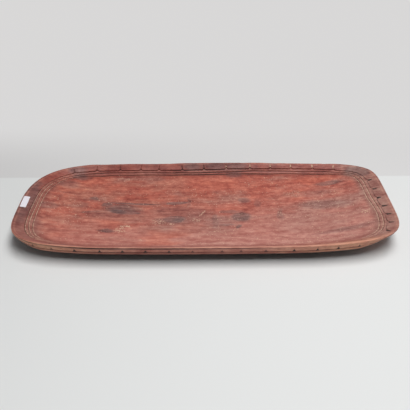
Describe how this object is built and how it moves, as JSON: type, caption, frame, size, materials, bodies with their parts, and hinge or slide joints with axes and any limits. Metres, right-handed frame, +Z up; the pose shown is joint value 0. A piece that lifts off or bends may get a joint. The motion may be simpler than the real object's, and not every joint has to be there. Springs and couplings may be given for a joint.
{
  "type": "carved wooden platter",
  "caption": "Long shallow platter carved from one plank of reddish wood: an incised frieze and grooves round the inside of its rim, notched outer edge, blank paper label",
  "frame": {"origin": "Middle of the flat foot, on the surface the platter rests on", "axes": "+X along the platter's length to its squarer end, which has short cuts above the frieze line; +Y across it to the far side; +Z up"},
  "size_m": [0.8, 0.321, 0.052],
  "materials": {
    "carved_wood": "hand-carved hardwood rubbed with red-brown colour, worn and satin",
    "label_paper": "smooth blank white sticker"
  },
  "bodies": {
    "root": {"platter": "carved_wood", "paper_label": "label_paper"}
  },
  "joints": []
}
